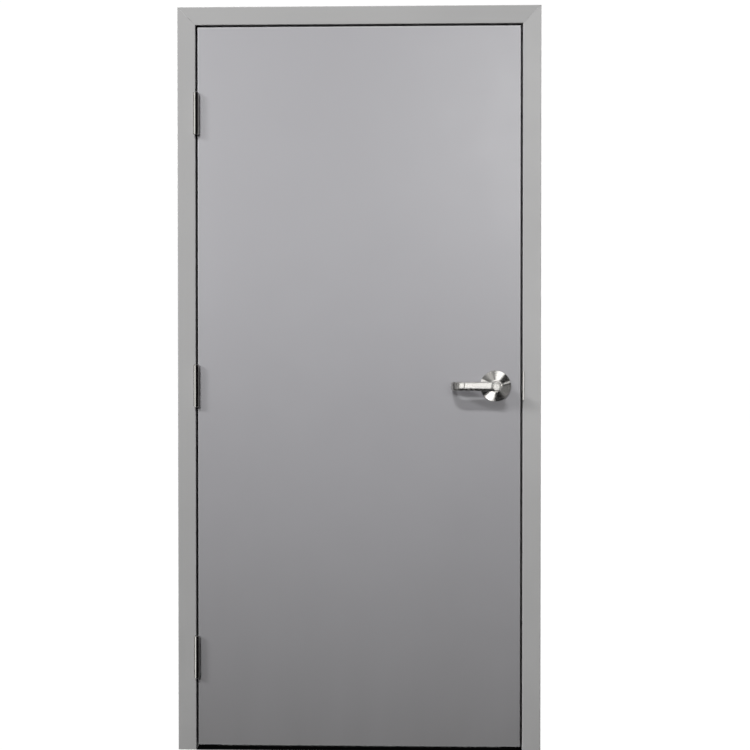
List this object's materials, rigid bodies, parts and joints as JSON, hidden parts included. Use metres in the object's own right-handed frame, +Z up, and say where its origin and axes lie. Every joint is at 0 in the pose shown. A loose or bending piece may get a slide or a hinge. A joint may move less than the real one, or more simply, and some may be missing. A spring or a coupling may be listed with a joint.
{
  "type": "steel utility door",
  "caption": "Flush grey hollow-metal door leaf on butt hinges in a folded steel frame, with lever handles on conical roses, a latch and a strike; opens to the pull side.",
  "frame": {"origin": "middle of the underside of the hinge-side floor anchor, at floor level, half-way through the wall", "axes": "+Z up; +X from the hinge side to the lock side; -Y out of the pull face, where the hinge barrels show and towards which the leaf opens"},
  "size_m": [1.016, 0.21, 2.0828],
  "materials": {
    "frame_paint": "satin grey enamel on folded steel sheet",
    "leaf_paint": "satin grey enamel on flat steel sheet",
    "hinge_steel": "satin chrome-plated steel",
    "satin_trim": "satin chrome",
    "primed_steel": "dull grey primer",
    "grey_rubber": "matt"
  },
  "bodies": {
    "frame": {"hinge_jamb": "frame_paint", "strike_jamb": "frame_paint", "frame_head": "frame_paint", "top_hinge_reinforcement": "primed_steel", "middle_hinge_reinforcement": "primed_steel", "bottom_hinge_reinforcement": "primed_steel", "top_hinge_frame_leaf": "hinge_steel", "middle_hinge_frame_leaf": "hinge_steel", "bottom_hinge_frame_leaf": "hinge_steel", "top_hinge_pin": "hinge_steel", "middle_hinge_pin": "hinge_steel", "bottom_hinge_pin": "hinge_steel", "strike_plate": "satin_trim", "strike_box": "primed_steel", "hinge_side_floor_anchor": "primed_steel", "strike_side_floor_anchor": "primed_steel", "hinge_side_top_wall_anchor": "primed_steel", "hinge_side_middle_wall_anchor": "primed_steel", "hinge_side_bottom_wall_anchor": "primed_steel", "strike_side_top_wall_anchor": "primed_steel", "strike_side_middle_wall_anchor": "primed_steel", "strike_side_bottom_wall_anchor": "primed_steel", "top_silencer": "grey_rubber", "middle_silencer": "grey_rubber", "bottom_silencer": "grey_rubber"},
    "leaf": {"pull_skin": "leaf_paint", "push_skin": "leaf_paint", "top_channel": "leaf_paint", "bottom_channel": "leaf_paint", "top_hinge_door_leaf": "hinge_steel", "middle_hinge_door_leaf": "hinge_steel", "bottom_hinge_door_leaf": "hinge_steel", "latch_case": "satin_trim", "latch_bolt": "satin_trim", "lock_chassis": "primed_steel", "outside_rose": "satin_trim", "inside_rose": "satin_trim"},
    "outside_handle": {"outside_lever": "satin_trim", "key_cylinder": "satin_trim"},
    "inside_handle": {"inside_lever": "satin_trim"}
  },
  "joints": [
    {"name": "door_swing", "type": "hinge", "parent": "frame", "child": "leaf", "pos_m": [0.02355, -0.08303, 1], "axis": [0, 0, -1], "range_deg": [0, 170]},
    {"name": "outside_lever_turn", "type": "hinge", "parent": "leaf", "child": "outside_handle", "pos_m": [0.8591, -0.1, 1.02394], "axis": [0, -1, 0], "range_deg": [0, 50], "stiffness_Nm_per_rad": 1.2, "springref_deg": -22.92},
    {"name": "inside_lever_turn", "type": "hinge", "parent": "leaf", "child": "inside_handle", "pos_m": [0.8591, 0, 1.02394], "axis": [0, -1, 0], "range_deg": [0, 50], "stiffness_Nm_per_rad": 1.2, "springref_deg": -22.92}
  ]
}
